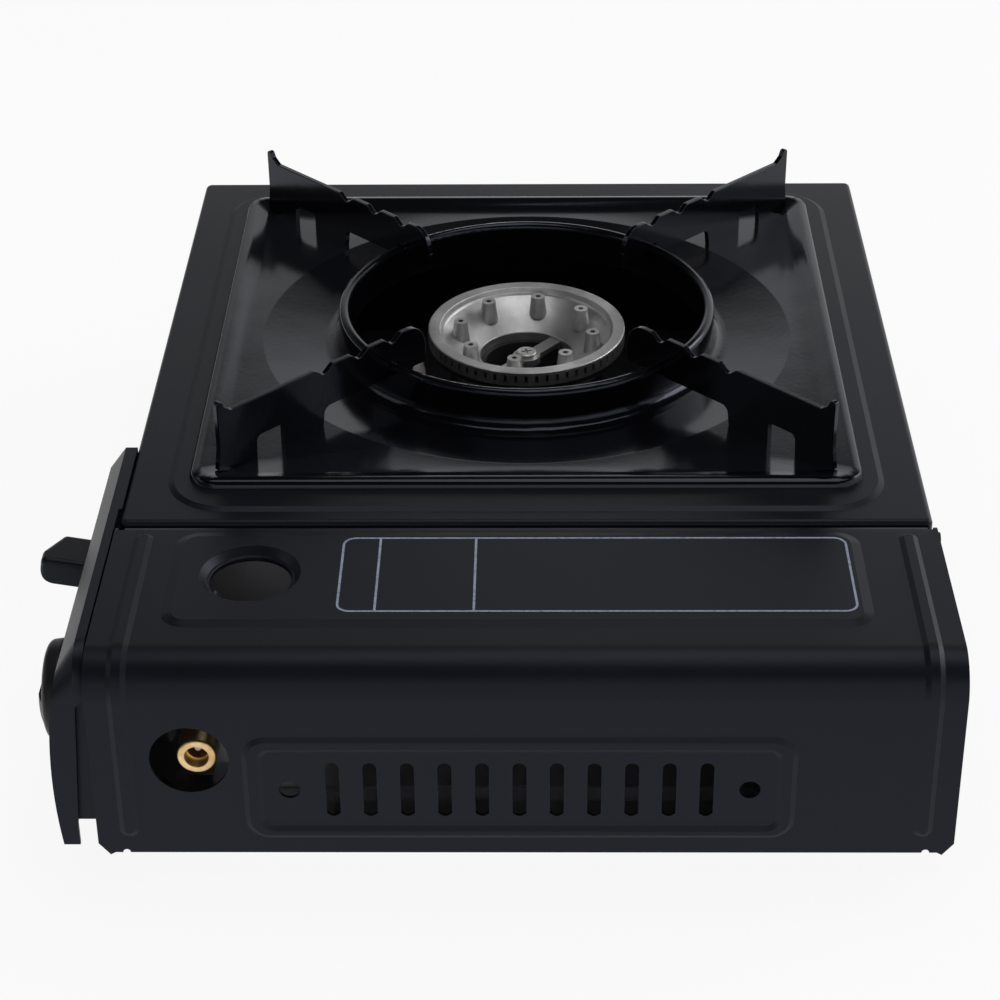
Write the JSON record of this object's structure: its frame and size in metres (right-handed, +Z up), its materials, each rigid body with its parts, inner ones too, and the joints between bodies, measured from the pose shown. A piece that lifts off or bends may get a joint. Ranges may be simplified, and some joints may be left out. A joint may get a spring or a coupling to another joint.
{
  "type": "portable butane cassette stove",
  "caption": "Black tabletop butane cassette stove with a hinged cartridge cover, a square drip pan with four blade pot supports and a cast burner",
  "frame": {"origin": "on the ground under the middle of the whole stove's box", "axes": "+X towards the cartridge side, -Y towards the knob and lever, +Z up"},
  "size_m": [0.345, 0.2934, 0.1077],
  "materials": {
    "satin_black_enamel": "satin powder coat",
    "gloss_black_enamel": "glossy vitreous enamel",
    "black_steel": "black finish",
    "galvanised_steel": "galvanised sheet",
    "black_rubber": "matte",
    "zinc_screws": "zinc plated",
    "core_steel": "turned",
    "dark_wire": "heat-darkened",
    "cast_aluminium": "cast, machined on top",
    "dark_casting": "heat-dulled casting",
    "brass": "turned",
    "pipe_aluminium": "drawn tube",
    "zinc_casting": "die cast",
    "black_plastic": "moulded",
    "white_plastic": "moulded",
    "white_ceramic": "glazed",
    "lead_jacket": "silicone jacket"
  },
  "bodies": {
    "root": {"body_shell": "satin_black_enamel", "front_panel": "satin_black_enamel", "hinge_pins": "black_steel", "base_plate": "galvanised_steel", "partition": "galvanised_steel", "burner_bracket": "galvanised_steel", "injector_bracket": "galvanised_steel", "igniter_bracket": "galvanised_steel", "cradle_saddles": "galvanised_steel", "air_shutter": "galvanised_steel", "rubber_feet": "black_rubber", "inlet_seal": "black_rubber", "floor_screws": "zinc_screws", "panel_screws": "zinc_screws", "bracket_screws": "zinc_screws", "regulator_screws": "zinc_screws", "burner_screw": "zinc_screws", "electrode_wire": "dark_wire", "burner_head": "cast_aluminium", "burner_body": "dark_casting", "burner_strap": "cast_aluminium", "mixing_tube": "dark_casting", "injector_nozzle": "brass", "pipe_nuts": "brass", "inlet_fitting": "brass", "gas_pipe": "pipe_aluminium", "regulator_body": "zinc_casting", "regulator_cap": "zinc_casting", "piezo_igniter": "black_plastic", "lever_guide": "black_plastic", "lead_clips": "black_plastic", "spark_electrode": "white_ceramic", "ignition_lead": "lead_jacket"},
    "cover": {"cartridge_cover": "satin_black_enamel"},
    "knob": {"control_knob": "black_plastic", "valve_stem": "zinc_screws", "ignition_cam": "black_plastic"},
    "plunger": {"piezo_plunger": "white_plastic"},
    "lever": {"lock_lever": "black_steel"},
    "carriage": {"cartridge_carriage": "galvanised_steel"},
    "pan": {"drip_pan": "gloss_black_enamel", "pot_support_front_left": "gloss_black_enamel", "pot_support_front_right": "gloss_black_enamel", "pot_support_rear_left": "gloss_black_enamel", "pot_support_rear_right": "gloss_black_enamel"},
    "core": {"inlet_core": "core_steel"}
  },
  "joints": [
    {"name": "cover_hinge", "type": "hinge", "parent": "root", "child": "cover", "pos_m": [0.09415, 0.01355, 0.076], "axis": [0, -1, 0], "range_deg": [0, 95]},
    {"name": "knob_turn", "type": "hinge", "parent": "root", "child": "knob", "pos_m": [0.12905, -0.13445, 0.0423], "axis": [0, -1, 0], "range_deg": [0, 120]},
    {"name": "plunger_press", "type": "slide", "parent": "root", "child": "plunger", "axis": [-1, 0, 0], "range_m": [0, 0.004]},
    {"name": "lever_slide", "type": "slide", "parent": "root", "child": "lever", "axis": [0, 0, -1], "range_m": [0, 0.012]},
    {"name": "carriage_slide", "type": "slide", "parent": "root", "child": "carriage", "axis": [0, -1, 0], "range_m": [0, 0.006]},
    {"name": "pan_lift", "type": "slide", "parent": "root", "child": "pan", "axis": [0, 0, 1], "range_m": [0, 0.04]},
    {"name": "core_press", "type": "slide", "parent": "root", "child": "core", "axis": [-1, 0, 0], "range_m": [0, 0.0015], "stiffness_N_per_m": 300}
  ],
  "couplings": [
    {"joint": "plunger_press", "follows": "knob_turn", "m_per_rad": 0.0019098},
    {"joint": "carriage_slide", "follows": "lever_slide", "ratio": 0.5}
  ]
}
